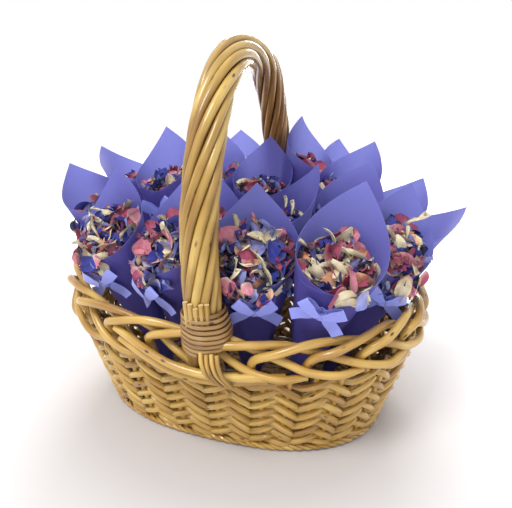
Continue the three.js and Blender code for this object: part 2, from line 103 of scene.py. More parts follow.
# The bunch, row by row from the front: mouth place x and y, lift of the tip, turn in degrees.
ROWS = [
    [(-96, -65.5, 3.5, 9), (-36, -80.7, 2.3, 25.5), (32, -77, 0, -18), (92.45, -82.8, 12.6, -3)],
    [(-140.6, -13.4, 18, -59), (-83, 9, 35, -2), (-27, -22, 0.2, -21), (33, -13, 8.5, 53),
     (84.9, -1.8, 12.5, 8), (131.6, 13.7, 0, 74), (125.7, -36.7, 6.3, -20)],
    [(-136, 44, 33, -75), (-52.6, 60.5, 28.3, 3), (2.4, 34.2, 24.3, -3), (77.3, 48, 30.7, 22),
     (116.6, 65, 7, 34)],
    [(-48.6, 110.4, 38.5, -10), (37.6, 76.7, 45.1, -50), (65.8, 113.2, 30, -33)],
]
HALF_ANGLES = (FRONT_HALF_ANGLE, REAR_HALF_ANGLE, REAR_HALF_ANGLE, LAST_HALF_ANGLE)
ROWS_WITH_CAD_BOWS = 2

# ---------------------------------------------------------------- materials

WHITE = (1, 1, 1)
BLACK = (0, 0, 0)


class Finish:
    """A material being built: its node tree and its shader."""

    def __init__(self, name, color, roughness):
        self.material = bpy.data.materials.new(name)
        self.material.use_nodes = True
        self.tree = self.material.node_tree
        self.shader = self.tree.nodes["Principled BSDF"]
        self.set("Base Color", (*color, 1))
        self.set("Roughness", roughness)

    def set(self, socket, value):
        self.shader.inputs[socket].default_value = value

    def node(self, kind, **inputs):
        made = self.tree.nodes.new(kind)
        for key, value in inputs.items():
            socket = made.inputs[key.replace("_", " ")]
            if isinstance(value, bpy.types.NodeSocket):
                self.tree.links.new(value, socket)
            else:
                socket.default_value = value
        return made

    def link(self, output, socket):
        self.tree.links.new(output, self.shader.inputs[socket])

    def stock(self, scale):
        """Place of a point on the straight or flat stock, stretched by scale."""
        read = self.tree.nodes.new("ShaderNodeAttribute")
        read.attribute_name = "stock"
        return self.node("ShaderNodeMapping", Vector=read.outputs["Vector"], Scale=scale).outputs[0]

    def field(self, name):
        """A number kept at each point of the mesh; 0 where the piece has none."""
        read = self.tree.nodes.new("ShaderNodeAttribute")
        read.attribute_name = name
        return read.outputs["Fac"]

    def noise(self, scale, detail, rough=0.5):
        """Noise over the stock, stretched by scale."""
        made = self.node("ShaderNodeTexNoise", Vector=self.stock(scale), Scale=1.0,
                         Detail=detail, Roughness=rough)
        return made.outputs["Fac"]

    def ramp(self, factor, *stops):
        """Colour ramp with stops (position, colour)."""
        made = self.node("ShaderNodeValToRGB", Fac=factor)
        ramp = made.color_ramp
        while len(ramp.elements) < len(stops):
            ramp.elements.new(0.5)
        for element, (place, color) in zip(ramp.elements, stops):
            element.position = place
            element.color = (*color, 1)
        return made.outputs["Color"]

    def mixed(self, factor, first, second, way="MIX"):
        made = self.tree.nodes.new("ShaderNodeMix")
        made.data_type = "RGBA"
        made.blend_type = way
        sockets = [made.inputs[k] for k in (0, 6, 7)]
        for socket, value in zip(sockets, (factor, first, second)):
            if isinstance(value, bpy.types.NodeSocket):
                self.tree.links.new(value, socket)
            else:
                socket.default_value = value if isinstance(value, float) else (*value, 1)
        return made.outputs[2]

    def bump(self, height, distance, strength):
        made = self.node("ShaderNodeBump", Height=height, Distance=distance, Strength=strength)
        self.link(made.outputs["Normal"], "Normal")


def willow_finish(name, pale, mid, deep, coat):
    """Peeled, varnished rod: slow drift from pale to deep, streaks along it, dark flecks."""
    f = Finish(name, mid, 0.36)
    f.set("Coat Weight", coat)
    f.set("Coat Roughness", 0.16)
    drift = f.noise((40, 40, 22), 2.0)
    color = f.ramp(drift, (0.3, deep), (0.5, mid), (0.7, pale))
    streaks = f.noise((420, 420, 30), 4.0, 0.6)
    shade = f.ramp(streaks, (0.3, (0.66, 0.58, 0.48)), (0.6, WHITE))
    color = f.mixed(0.75, color, shade, "MULTIPLY")
    spots = f.node("ShaderNodeTexVoronoi", Vector=f.stock((160, 160, 70)), Scale=1.0)
    fleck = f.ramp(spots.outputs["Distance"], (0.08, WHITE), (0.2, BLACK))
    patches = f.ramp(f.noise((60, 60, 18), 1.0), (0.5, BLACK), (0.58, WHITE))
    mask = f.mixed(1.0, fleck, patches, "MULTIPLY")
    color = f.mixed(mask, color, (0.07, 0.025, 0.008))
    # painted shade: a per-point field darkens the colour towards deep brown where a rod lies deep
    # in the handle, behind an upright, turned inward or between turns of cane
    color = f.mixed(f.field("painted_shade"), color, (0.10, 0.042, 0.012))
    # mixes towards a darker, browner colour along the back leg of the handle
    back_leg_tint = f.field("back_leg_tint")
    browned = f.mixed(1.0, color, (0.72, 0.56, 0.52), "MULTIPLY")
    color = f.mixed(back_leg_tint, color, browned)
    f.link(color, "Base Color")
    f.bump(streaks, 0.0002, 0.6)
    return f.material


willow = willow_finish(
    "willow", (0.66, 0.44, 0.115), (0.52, 0.315, 0.066), (0.34, 0.172, 0.03), 0.5)
willow_handle = willow_finish(
    "willow_handle", (0.62, 0.43, 0.12), (0.43, 0.265, 0.055), (0.28, 0.145, 0.026), 0.45)
cane = willow_finish(
    "cane", (0.44, 0.27, 0.10), (0.35, 0.20, 0.068), (0.25, 0.13, 0.04), 0.2)
willow_base = willow_finish(
    "willow_base", (0.40, 0.25, 0.09), (0.33, 0.19, 0.06), (0.24, 0.13, 0.035), 0.1)


def cut_end_finish():
    """Cut end of a rod: pale wood with a darker pith."""
    f = Finish("cut_end", (0.66, 0.47, 0.24), 0.6)
    grain = f.noise((900, 900, 900), 3.0)
    color = f.ramp(grain, (0.35, (0.50, 0.33, 0.15)), (0.65, (0.76, 0.58, 0.33)))
    f.link(color, "Base Color")
    f.bump(grain, 0.0002, 0.5)
    return f.material


def paper_finish():
    """Matt craft paper, violet-blue, with faint fibres; light comes through a little."""
    f = Finish("violet_paper", (0.108, 0.088, 0.39), 0.6)
    cloud = f.noise((22, 22, 22), 3.0)
    color = f.ramp(cloud, (0.3, (0.100, 0.082, 0.37)), (0.7, (0.116, 0.094, 0.41)))
    fibres = f.noise((700, 1500, 900), 4.0, 0.65)
    tone = f.ramp(fibres, (0.3, (0.84, 0.84, 0.9)), (0.65, WHITE))
    color = f.mixed(0.6, color, tone, "MULTIPLY")
    f.link(color, "Base Color")
    f.bump(fibres, 0.00008, 0.5)
    glow = f.node("ShaderNodeBsdfTranslucent", Color=(0.63, 0.685, 1.0, 1))
    both = f.node("ShaderNodeMixShader", Fac=0.42)
    f.tree.links.new(f.shader.outputs[0], both.inputs[1])
    f.tree.links.new(glow.outputs[0], both.inputs[2])
    f.tree.links.new(both.outputs[0], f.tree.nodes["Material Output"].inputs["Surface"])
    return f.material


def petal_finish(name, edge, middle, root, dark):
    """Dried petal: colour from root to edge, veins along it, blotches of another tone."""
    f = Finish(name, middle, 0.7)
    f.set("Sheen Weight", 0.15)
    along = f.ramp(f.field("reach"), (0.0, root), (0.35, middle), (0.95, edge))
    veins = f.noise((900, 90, 300), 3.0, 0.6)
    lines = f.ramp(veins, (0.3, (dark, dark, dark)), (0.62, WHITE))
    blotch = f.noise((90, 90, 90), 2.0)
    tone = f.ramp(blotch, (0.34, (0.62, 0.56, 0.6)), (0.6, (1.12, 1.1, 1.08)))
    color = f.mixed(0.8, f.mixed(0.8, along, lines, "MULTIPLY"), tone, "MULTIPLY")
    f.link(color, "Base Color")
    f.bump(veins, 0.0003, 0.8)
    return f.material


def ribbon_finish():
    """Satin ribbon: fine cross threads and a soft sheen."""
    f = Finish("periwinkle_satin", (0.24, 0.28, 0.80), 0.34)
    f.set("Sheen Weight", 0.4)
    f.set("Sheen Tint", (0.75, 0.78, 1.0, 1))
    f.set("Anisotropic", 0.4)
    threads = f.noise((300, 6000, 1), 2.0)
    tone = f.ramp(threads, (0.3, (0.21, 0.245, 0.72)), (0.7, (0.28, 0.32, 0.84)))
    f.link(tone, "Base Color")
    f.bump(threads, 0.00005, 0.5)
    return f.material


cut_end = cut_end_finish()
paper = paper_finish()
satin = ribbon_finish()
# name, colour at the edge, in the middle and at the root, tone of the veins
PETAL_COLORS = [
    ("rose", (0.33, 0.045, 0.11), (0.45, 0.085, 0.17), (0.66, 0.36, 0.34), 0.6),
    ("pink", (0.60, 0.19, 0.28), (0.68, 0.30, 0.36), (0.76, 0.55, 0.46), 0.6),
    ("peach", (0.70, 0.33, 0.20), (0.74, 0.46, 0.29), (0.74, 0.62, 0.38), 0.6),
    ("cream", (0.74, 0.68, 0.46), (0.76, 0.69, 0.48), (0.58, 0.48, 0.23), 0.78),
    ("blue", (0.018, 0.024, 0.24), (0.03, 0.042, 0.36), (0.05, 0.06, 0.28), 0.6),
    ("navy", (0.01, 0.01, 0.06), (0.016, 0.016, 0.10), (0.025, 0.02, 0.07), 0.6),
    ("lilac", (0.20, 0.23, 0.56), (0.29, 0.31, 0.62), (0.46, 0.44, 0.62), 0.6),
]
PETAL_FINISHES = {
    kind: petal_finish(f"petal_{kind}", edge, middle, root, dark)
    for kind, edge, middle, root, dark in PETAL_COLORS
}

# ---------------------------------------------------------------- making pieces


def select_only(*pieces):
    bpy.ops.object.select_all(action="DESELECT")
    for piece in pieces:
        piece.select_set(True)
    bpy.context.view_layer.objects.active = pieces[0]


def coordinates(piece):
    flat = np.empty(3 * len(piece.data.vertices))
    piece.data.vertices.foreach_get("co", flat)
    return flat.reshape(-1, 3)


def move_points(piece, points):
    piece.data.vertices.foreach_set("co", np.ascontiguousarray(points, dtype=float).ravel())
    piece.data.update()


def keep_stock(piece, shift=(0, 0, 0)):
    """Stores where each point lies on the straight or flat stock, for the finish to follow."""
    field = piece.data.attributes.new("stock", "FLOAT_VECTOR", "POINT")
    field.data.foreach_set("vector", (coordinates(piece) + np.array(shift)).ravel())


def keep_field(piece, name, values):
    field = piece.data.attributes.new(name, "FLOAT", "POINT")
    field.data.foreach_set("value", np.broadcast_to(values, len(piece.data.vertices)))


def join(pieces, name):
    select_only(*pieces)
    if len(pieces) > 1:
        bpy.ops.object.join()
    whole = bpy.context.view_layer.objects.active
    whole.name = name
    whole.data.name = name
    return whole


def finish_piece(piece, slot, *nodes):
    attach(piece, "root")
    if nodes:
        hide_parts(*nodes)


def thicken(piece, thickness):
    """Gives a sheet its thickness in millimetres, half to each side."""
    select_only(piece)
    bpy.ops.object.modifier_add(type="SOLIDIFY")
    piece.modifiers[-1].thickness = thickness * MM
    piece.modifiers[-1].offset = 0
    bpy.ops.object.modifier_apply(modifier=piece.modifiers[-1].name)


def straight_rod(length, radius, segments, sides):
    """A rod standing at the origin, cut into equal lengths, with flat ends."""
    bpy.ops.mesh.primitive_cylinder_add(vertices=sides, radius=radius, depth=length)
    rod = bpy.context.object
    mesh = rod.data
    bpy.ops.object.mode_set(mode="EDIT")
    bpy.ops.mesh.select_mode(type="EDGE")
    left = segments
    while left > 1:
        cuts = next(c for c in range(min(left, 100), 0, -1) if left % c == 0)
        if cuts == 1:
            cuts = left
        bpy.ops.mesh.select_all(action="DESELECT")
        bpy.ops.object.mode_set(mode="OBJECT")
        for edge in mesh.edges:
            low, high = (mesh.vertices[v].co for v in edge.vertices)
            edge.select = abs(low.z - high.z) > 1e-9
        bpy.ops.object.mode_set(mode="EDIT")
        bpy.ops.mesh.subdivide(number_cuts=cuts - 1)
        left //= cuts
    bpy.ops.object.mode_set(mode="OBJECT")
    return rod


def resample(line, segments):
    """Even points along a line of many points."""
    lengths = np.concatenate([[0], np.cumsum(np.linalg.norm(np.diff(line, axis=0), axis=1))])
    want = np.linspace(0, lengths[-1], segments + 1)
    return np.stack([np.interp(want, lengths, line[:, axis]) for axis in range(3)], axis=1)


def line_length(line):
    return float(np.linalg.norm(np.diff(line, axis=0), axis=1).sum())


def through(points, segments):
    """Even points along a smooth line through the given ones."""
    points = np.asarray(points, float)
    ends = np.vstack([2 * points[0] - points[1], points, 2 * points[-1] - points[-2]])
    spans = len(points) - 1
    fine = []
    for k in range(spans):
        p0, p1, p2, p3 = ends[k : k + 4]
        for t in np.linspace(0, 1, 12, endpoint=False):
            fine.append(0.5 * (2 * p1 + (p2 - p0) * t + (2 * p0 - 5 * p1 + 4 * p2 - p3) * t**2
                               + (3 * p1 - p0 - 3 * p2 + p3) * t**3))
    return resample(np.array(fine + [points[-1]]), segments)


def frames_along(line, start_side=None):
    """Directions ahead, side and up at each point of a line, carried on without twist."""
    ahead = np.gradient(line, axis=0)
    ahead /= np.linalg.norm(ahead, axis=1)[:, None]
    side = np.cross(ahead[0], (0, 0, 1) if abs(ahead[0][2]) < 0.9 else (0, 1, 0))
    if start_side is not None:
        side = np.asarray(start_side, float)
    sides = []
    for direction in ahead:
        side = side - direction * side.dot(direction)
        side /= np.linalg.norm(side)
        sides.append(side)
    sides = np.array(sides)
    return ahead, sides, np.cross(ahead, sides)


rod_count = 0


def rod(line, radius, sides, finish, swell=1.0):
    """A rod bent along a line of points in millimetres; swell scales its radius along it."""
    global rod_count
    rod_count += 1
    line = np.asarray(line) * MM
    segments = len(line) - 1
    length = line_length(line)
    piece = straight_rod(length, radius * MM, segments, sides)
    keep_stock(piece, (0.37 * rod_count, 0.21 * rod_count, 0.53 * rod_count))
    _, across, up = frames_along(line)
    straight = coordinates(piece)
    ring = np.rint((straight[:, 2] / length + 0.5) * segments).astype(int)
    swell = np.broadcast_to(swell, segments + 1)
    offset = straight[:, :2] * swell[ring][:, None]
    move_points(piece, line[ring] + offset[:, :1] * across[ring] + offset[:, 1:] * up[ring])
    piece.data.materials.append(finish)
    piece.data.materials.append(cut_end)
    for face in piece.data.polygons:
        if len(face.vertices) > 4:
            face.material_index = 1
    return piece


def nearest(line, points):
    """Number of the point of a line that lies nearest to each of the given points."""
    return np.array([np.argmin(((line - p) ** 2).sum(1)) for p in points])


def smooth(piece, degrees=40):
    select_only(piece)
    bpy.ops.object.shade_smooth_by_angle(angle=math.radians(degrees))


# ---------------------------------------------------------------- oval plan


def oval(phi, a, b):
    c, s = np.cos(phi), np.sin(phi)
    r = (np.abs(c / a) ** PLAN_EXPONENT + np.abs(s / b) ** PLAN_EXPONENT) ** (-1 / PLAN_EXPONENT)
    return r * c, r * s


plan_angles = np.linspace(-math.pi / 2, 1.5 * math.pi, 1441)
plan_x, plan_y = oval(plan_angles, WEAVE_TOP[1], WEAVE_TOP[2])
plan_lengths = np.concatenate([[0], np.cumsum(np.hypot(np.diff(plan_x), np.diff(plan_y)))])
STAKE_SPACING = plan_lengths[-1] / STAKES


def wall(u, h, out):
    """Points of the wall, u stakes from the front, h above the floor, out from the stakes."""
    u, h, out = np.broadcast_arrays(*(np.asarray(v, float) for v in (u, h, out)))
    turns = np.floor(u / STAKES)
    phi = np.interp((u / STAKES - turns) * plan_lengths[-1], plan_lengths, plan_angles)
    low = h < WEAVE_TOP[0]
    share = np.where(low, h / WEAVE_TOP[0], (h - WEAVE_TOP[0]) / (BORDER_TOP[0] - WEAVE_TOP[0]))
    a = np.where(low, FOOT[1] + share * (WEAVE_TOP[1] - FOOT[1]),
                 WEAVE_TOP[1] + share * (BORDER_TOP[1] - WEAVE_TOP[1]))
    b = np.where(low, FOOT[2] + share * (WEAVE_TOP[2] - FOOT[2]),
                 WEAVE_TOP[2] + share * (BORDER_TOP[2] - WEAVE_TOP[2]))
    x, y = oval(phi, a + out, b + out)
    rise = END_RISE * (x / (a + out)) ** 2 * np.minimum(1, h / WEAVE_TOP[0]) ** 2
    return np.stack([x, y, h + rise], axis=-1)


# ---------------------------------------------------------------- wall and base


def wander(rng, count, size, stretch=9):
    """Slow random drift about zero along a line of count points."""
    knots = rng.uniform(-size, size, count // stretch + 3)
    return np.interp(np.linspace(0, len(knots) - 1, count), np.arange(len(knots)), knots)


ROW_LOW = 7  # height of the lowest row of weavers
ROW_SPAN = 65  # from there to the highest row
WEAVER_OUT = 0.9  # a weaver's middle, out from the stakes' plane
WEAVER_BEFORE = 2.6  # further out where it passes in front of an upright
WEAVER_BEHIND = 2.0  # further in where it passes behind one
OUT_RISE = 0.42  # share of its way out by which a weaver rises; its arms look straight from above
UPRIGHT_RADIUS = 2.5
UPRIGHT_OUT = 0.6
TWINE_RODS = 3
TWINE_RADIUS = 1.5
TWINE_REACH = 1.7  # of a twined rod from the middle of the twine
TWINE_HEIGHT = 3.6
TWINE_OUT = 3.9


def woven_wall():
    """Thick weavers that dip at every stake and rise between, each in front of every other
    upright and behind the rest, with a twined rod along the foot."""
    rng = np.random.default_rng(11)
    rods = []
    for row in range(WEAVE_ROWS):
        start = int(rng.integers(0, STAKES)) + 0.5 * (row % 2)
        u = np.linspace(start, start + STAKES + 0.5, 271)
        share = u - np.floor(u)
        in_front = np.sin(2 * math.pi * share) * (1 if row % 2 else -1)
        swing = np.abs(in_front) ** 0.7
        out = WEAVER_OUT + np.where(in_front > 0, WEAVER_BEFORE * swing, -WEAVER_BEHIND * swing)
        low = ROW_LOW + ROW_SPAN * row / (WEAVE_ROWS - 1)
        # the waves grow from the foot and die out at the top, to end in level rows
        dip = WEAVE_DIP * min(1, 0.5 + row / 4, 0.7 + (WEAVE_ROWS - 1 - row) / 4)
        away = np.minimum(share, 1 - share)
        h = low + dip * (4 * away - 1) + OUT_RISE * out + wander(rng, len(u), 0.25, 10)
        if row % 2 == 0:
            h -= min(1, row / 4) * ARM_DROP * (1 - 2 * away)
        swell = 1 + wander(rng, len(u), 0.08, 14)
        line = wall(u, h, out)
        weaver = rod(line, WEAVER_RADIUS, 8, willow, swell)
        ring = nearest(line, coordinates(weaver) / MM)
        # painted shade: a weaver is darkened where it passes behind the uprights, so the gaps read
        # dark
        keep_field(weaver, "painted_shade", np.clip(-0.6 * in_front[ring], 0, 0.55))
        rods.append(weaver)
    for upright in range(2 * STAKES):
        h = np.linspace(1.5, WEAVE_TOP[0] + 3, 21)
        line = wall(0.25 + upright / 2, h, UPRIGHT_OUT)
        rods.append(rod(line, UPRIGHT_RADIUS, 8, willow))
    for strand in range(TWINE_RODS):
        u = np.linspace(0, STAKES, 265)
        turn = 2 * math.pi * (u * 1.5 + strand / TWINE_RODS)
        h = TWINE_HEIGHT + TWINE_REACH * np.cos(turn)
        line = wall(u, h, TWINE_OUT + TWINE_REACH * np.sin(turn))
        rods.append(rod(line, TWINE_RADIUS, 6, willow))
    piece = join(rods, "woven_wall")
    smooth(piece)
    finish_piece(piece, "weave_willow", "side_weave")


# Share of its height above the first few mm by which the border dips, to the right of the
# front foot and at the right end: stakes to the right, share.
BORDER_DIP = [(0, 0), (1, 0.19), (4, 0.19), (5.5, 0.36), (7, 0.36), (10, 0)]
DIP_ABOVE = 8
BORDER_ROUTE = [
    # stakes to the right, height above the weave, out from the stakes' plane
    (0, 3.8, 0), (0, 16, 0), (0.08, 27, 3), (0.4, 33.5, 4), (1, 39, -1), (1.6, 36.5, -5.5),
    (2.1, 30, -4.5), (2.6, 21, 2.5), (3, 13, 6.4), (3.5, 7.5, 8.5), (3.98, 7.5, 5),
]


def border_height(u, h):
    rightward = np.mod(u, STAKES)
    dip = np.zeros_like(rightward)
    for (near, low), (far, high) in zip(BORDER_DIP, BORDER_DIP[1:]):
        share = (rightward - near) / (far - near)
        inside = (share >= 0) & (share < 1)
        dip[inside] = (low + (high - low) * share**2 * (3 - 2 * share))[inside]
    return h - dip * np.maximum(0, h - DIP_ABOVE)


CROSSING_ROUTES = [
    # two rods that cross in front of a foot of the handle, in the same three measures
    [(-1.7, 25, 3), (-1.0, 20, 9), (-0.35, 15, 15.6),
     (0.25, 11.5, 15.8), (0.9, 8.5, 10), (1.6, 7, 5)],
    [(-1.6, 17, 5), (-1.0, 13, 10), (-0.35, 8, 15.4),
     (0.2, 4.8, 14.6), (0.8, 3.6, 9), (1.3, 4, 5)],
]


def plaited_border():
    rng = np.random.default_rng(5)
    rods = []
    for stake in range(STAKES):
        route = np.array(BORDER_ROUTE, float)
        route[2:-1, 1] += rng.uniform(-1.2, 1.2, len(route) - 3)
        route[2:-1, 2] += rng.uniform(-0.4, 0.4, len(route) - 3)
        u, h, out = route.T
        line = through(wall(stake + u, WEAVE_TOP[0] + border_height(stake + u, h), out), 60)
        swell = np.linspace(1.04, 0.94, 61) + wander(rng, 61, 0.03, 14)
        rods.append(rod(line, ROD_RADIUS, 10, willow, swell))
    for foot in (0, STAKES / 2):
        for route in CROSSING_ROUTES:
            u, h, out = np.array(route, float).T
            line = through(wall(foot + u, WEAVE_TOP[0] + h, out), 48)
            rods.append(rod(line, ROD_RADIUS, 10, willow, 1 + wander(rng, 49, 0.04, 14)))
    piece = join(rods, "plaited_border")
    smooth(piece)
    finish_piece(piece, "border_willow", "rim_border_left", "rim_border_right")


BASE_RINGS = 13
BASE_MIDDLE = (45, 6)  # half length and half width inside the rings
BASE_EDGE = 6  # the outer ring lies this far inside the stakes' plane
BASE_HEIGHT = 3.9  # middle of its rods
BASE_WAVE = 1.1  # of a ring over and under the sticks
BASE_WAVES = 11
RING_RADIUS = 2.6
STICK_RADIUS = 2.4


def woven_base():
    """Rings of rods, woven over and under sticks that lie across the base."""
    rods = []
    for ring in range(BASE_RINGS):
        share = (ring + 1) / BASE_RINGS
        phi = np.linspace(0, 2 * math.pi, 121)
        wave = BASE_WAVE * np.cos(BASE_WAVES * phi + math.pi * ring)
        a = BASE_MIDDLE[0] + share * (FOOT[1] - BASE_EDGE - BASE_MIDDLE[0])
        b = BASE_MIDDLE[1] + share * (FOOT[2] - BASE_EDGE - BASE_MIDDLE[1])
        x, y = oval(phi, a, b)
        line = np.stack([x, y, BASE_HEIGHT + wave], axis=-1)
        rods.append(rod(line, RING_RADIUS, 6, willow_base))
    for x in np.linspace(-84, 84, 7):
        inside = 1 - abs(x / FOOT[1]) ** PLAN_EXPONENT
        reach = (FOOT[2] - 5) * inside ** (1 / PLAN_EXPONENT)
        line = [(x, y, BASE_HEIGHT) for y in np.linspace(-reach, reach, 9)]
        rods.append(rod(line, STICK_RADIUS, 6, willow_base))
    for y in (-14, 0, 14):
        line = [(x, y, BASE_HEIGHT) for x in np.linspace(-119, 119, 9)]
        rods.append(rod(line, STICK_RADIUS, 6, willow_base))
    piece = join(rods, "woven_base")
    smooth(piece)
    finish_piece(piece, "base_willow", "basket_base")


# ---------------------------------------------------------------- handle


def arch(t):
    """Centreline of the handle, t from 0 at the front foot to 1 at the back."""
    angle = math.pi * np.asarray(t)
    c, s = np.cos(angle), np.abs(np.sin(angle))
    low = WEAVE_TOP[0] + GAP
    y = -HANDLE_HALF_SPAN * np.sign(c) * np.abs(c) ** (2 / HANDLE_EXPONENT)
    z = low + (HANDLE_TOP - low) * s ** (2 / HANDLE_EXPONENT)
    up = np.clip(z / BINDING_LOW - 1, 0, 1)
    aside = np.where(c > 0, 1 - up * up * (3 - 2 * up), 0)
    return np.stack([HANDLE_ASIDE * aside, y, z], axis=-1)


ARCH = resample(arch(np.linspace(0, 1, 3001)), 150)
ARCH_AHEAD, ARCH_SIDE, ARCH_OUT = frames_along(ARCH, (1, 0, 0))


def roped_handle():
    """Ten rods laid round a core in a slow twist; painted shade in the hollows between the rods,
    darker and browner along the back leg.
    """
    rng = np.random.default_rng(21)
    count = len(ARCH)
    share = np.linspace(0, 1, count)
    gather = np.clip((ARCH[:, 2] - WEAVE_TOP[0]) / (BINDING_LOW - WEAVE_TOP[0]), 0, 1)
    gather = gather**2 * (3 - 2 * gather)
    bundle = HANDLE_FOOT_RADIUS + (HANDLE_RADIUS - HANDLE_FOOT_RADIUS) * gather
    bound = share[np.argmax(ARCH[:, 2] > BINDING_LOW)]
    twist = 2 * math.pi * HANDLE_TURNS * np.clip((share - bound) / (1 - 2 * bound), 0, 1)
    # share of each point along the arch that takes the darker, browner colour of the back leg
    back_leg_tint = np.clip((share - 0.52) / 0.1, 0, 1) * np.clip((1.05 - share) / 0.1, 0, 1)
    rods = [rod(ARCH, CORE_RADIUS, 12, willow_handle, 0.6 + 0.4 * gather)]
    # painted shade: the core, hidden deep in the bundle, is painted fully dark
    keep_field(rods[0], "painted_shade", 1.0)
    keep_field(rods[0], "back_leg_tint", 0.0)
    for strand in range(HANDLE_STRANDS):
        angle = 2 * math.pi * strand / HANDLE_STRANDS + twist + wander(rng, count, 0.08, 18)
        reach = bundle - STRAND_RADIUS + wander(rng, count, 0.45, 12)
        line = (ARCH + (reach * np.cos(angle))[:, None] * ARCH_SIDE
                + (reach * np.sin(angle))[:, None] * ARCH_OUT)
        swell = (0.93 + 0.14 * rng.random()) * (1 + wander(rng, count, 0.05, 20))
        swell *= 0.8 + 0.2 * gather
        piece = rod(line, STRAND_RADIUS, 12, willow_handle, swell)
        points = coordinates(piece) / MM
        ring = nearest(ARCH, points)
        # painted shade: how deep a point lies in the bundle darkens the hollows between the rods
        depth = bundle[ring] - np.linalg.norm(points - ARCH[ring], axis=1)
        keep_field(piece, "painted_shade", np.clip((depth - 1.3) / 2.2, 0, 0.9))
        keep_field(piece, "back_leg_tint", 0.85 * back_leg_tint[ring])
        rods.append(piece)
    piece = join(rods, "roped_handle")
    smooth(piece)
    finish_piece(piece, "handle_willow", "handle_rope")


def leg_at(z, back):
    """Centre of a handle leg at a height."""
    middle = len(ARCH) // 2
    half = ARCH[:middle:-1] if back else ARCH[:middle]
    x, y = (np.interp(z, half[:, 2], half[:, axis]) for axis in (0, 1))
    return np.stack([x, y, z], axis=-1)


def cane_binding(back):
    """Flat cane wound round a leg: a strip bent along a helix, with corners where it passes
    over the rods of the leg, fullest near its low end."""
    side = "back" if back else "front"
    steps = 36 * BINDING_TURNS
    turn = np.linspace(0, 2 * math.pi * BINDING_TURNS, steps + 1)
    height = (BINDING_HIGH - BINDING_LOW) / (BINDING_TURNS + 1)
    z = BINDING_HIGH - height / 2 - height * turn / (2 * math.pi)
    up = (z - BINDING_LOW) / (BINDING_HIGH - BINDING_LOW)
    full = np.sin(math.pi * np.minimum(1, 0.8 * up + 0.2))
    bottom, widest, top = BINDING_RADII
    plain = bottom + (top - bottom) * up
    angle = turn + (0.5 * math.pi if back else -0.5 * math.pi)
    corners = 0.55 * np.abs(np.sin(3 * angle)) - 0.2
    radius = plain + (widest - plain) * full**2 - 1.3 + corners
    centre = leg_at(z, back)
    centre[:, 0] += (-1 if back else 1) * BINDING_ASIDE * full
    line = centre + np.stack([radius * np.cos(angle), radius * np.sin(angle), 0 * z], axis=-1)
    line[:, 2] += 0.4 * np.sin(angle + 0.6)
    piece = rod(line, 1.0, 10, cane)
    # the round rod is pressed flat: thin across the leg, nearly as wide as the pitch along it
    points = coordinates(piece)
    ring = nearest(line * MM, points)
    offset = points - line[ring] * MM
    rise = offset[:, 2:] * np.array([0, 0, 1])
    move_points(piece, points + (0.5 * height - 1.05) * rise)
    # painted shade: the cane darkens towards its upper and lower edges, where the turns meet
    keep_field(piece, "painted_shade", np.clip(np.abs(offset[:, 2]) / MM * 1.9 - 1.15, 0, 0.8))
    piece = join([piece], f"{side}_cane_binding")
    smooth(piece, 60)
    finish_piece(piece, "binding_cane", f"{side}_binding")


LAP_RODS = 4
LAP_SPACING = 3.3
LAP_RADIUS = 1.75
LAP_ROUTE = [
    # along the wall from the foot, height above the weave, out from the stakes' plane
    (13, 31, 14), (14.4, 25, 19.6), (16.6, 16, 20.9), (20, 7.5, 18.6), (22, 2, 15),
]


def lap_rods(back):
    """Thin rods from under a binding down to the right over the border, side by side."""
    side = "back" if back else "front"
    rng = np.random.default_rng(31 + back)
    rods = []
    for k in range(LAP_RODS):
        across = (k - (LAP_RODS - 1) / 2) * LAP_SPACING
        along, h, out = np.array(LAP_ROUTE, float).T
        h = h + rng.uniform(-1, 1)
        u = (STAKES / 2 if back else 0) + (along + across) / STAKE_SPACING
        line = through(wall(u, WEAVE_TOP[0] + h, out), 24)
        piece = rod(line, LAP_RADIUS, 8, willow, np.linspace(1.05, 0.7, 25))
        points = coordinates(piece) / MM
        ring = nearest(line, points)
        offset = points - line[ring]
        facing = -offset[:, 1] * (-1 if back else 1)
        # painted shade: each rod is darker on its side turned in towards the wall
        keep_field(piece, "painted_shade", np.clip(0.7 - facing / 1.2, 0, 0.8))
        rods.append(piece)
    piece = join(rods, f"{side}_laps")
    smooth(piece)
    finish_piece(piece, "lap_willow", f"{side}_lap_rods")


PEGS = 5
PEG_RADIUS = 1.9
PEG_REACH = np.array([14.4, 14.9, 15.6])  # from the middle of the leg, low to high


def peg_ends(back):
    """Cut ends of rods that stand up out of a binding, leaning on the handle."""
    side = "back" if back else "front"
    rng = np.random.default_rng(41 + back)
    rods = []
    facing = 0.5 * math.pi if back else -0.5 * math.pi
    for k in range(PEGS):
        angle = facing + (k - 1.6) * 0.26
        z = BINDING_HIGH + np.array([-12, -4, 4 + 4 * rng.random()])
        around = [PEG_REACH * np.cos(angle), PEG_REACH * np.sin(angle), 0 * z]
        line = leg_at(z, back) + np.stack(around, axis=-1)
        rods.append(rod(through(line, 6), PEG_RADIUS, 8, willow_handle))
    piece = join(rods, f"{side}_peg_ends")
    smooth(piece)
    finish_piece(piece, "handle_willow")


# ---------------------------------------------------------------- paper cones


